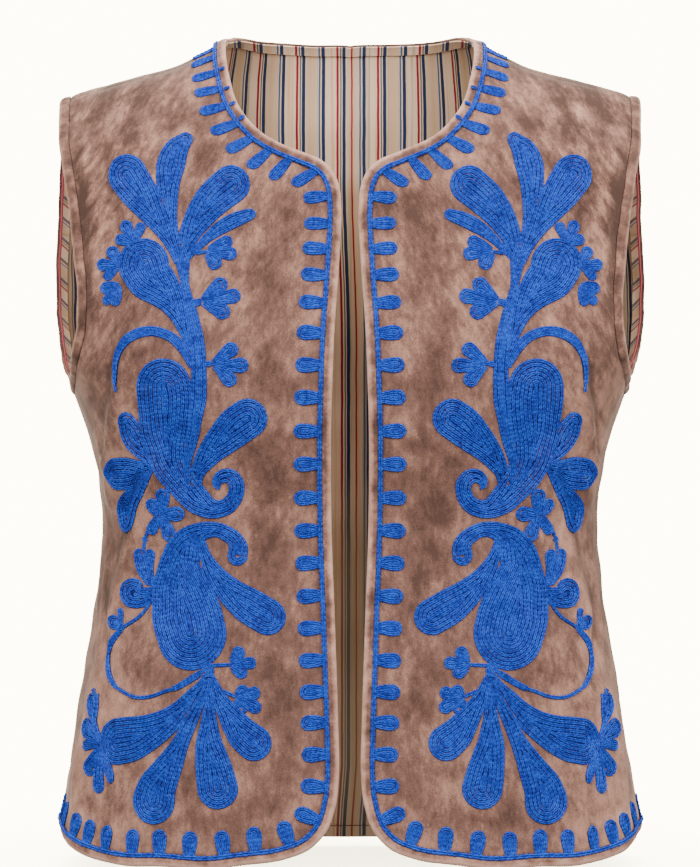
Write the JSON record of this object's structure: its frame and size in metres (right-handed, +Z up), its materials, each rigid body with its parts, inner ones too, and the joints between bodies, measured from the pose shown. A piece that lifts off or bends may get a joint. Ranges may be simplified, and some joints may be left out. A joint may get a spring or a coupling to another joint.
{
  "type": "embroidered waistcoat",
  "caption": "Sleeveless round-neck velvet waistcoat with an open front, rounded hem corners, edge bands and striped lining.",
  "frame": {"origin": "midway between the two neck points of the shoulders, where the wearer's neck carries the garment", "axes": "+Z up, +X to the wearer's left, the open front faces -Y"},
  "size_m": [0.4044, 0.1986, 0.5521],
  "materials": {
    "velvet": "crushed cotton velvet, taupe, mottled nap",
    "velvet_band": "the same velvet, folded and topstitched",
    "lining": "plain woven cotton, sand with red, navy and blue stripes",
    "facing": "the striped cotton cut as a narrow strip"
  },
  "bodies": {
    "root": {"front_right": "velvet", "front_left": "velvet", "back": "velvet", "band_front_right": "velvet_band", "band_front_left": "velvet_band", "band_back_neck": "velvet_band", "band_back_hem": "velvet_band", "band_armhole_right": "velvet_band", "band_armhole_left": "velvet_band", "lining_front_right": "lining", "lining_front_left": "lining", "lining_back": "lining", "facing_armhole_right": "facing", "facing_armhole_left": "facing", "facing_back_neck": "facing", "facing_back_hem": "facing"}
  },
  "joints": []
}
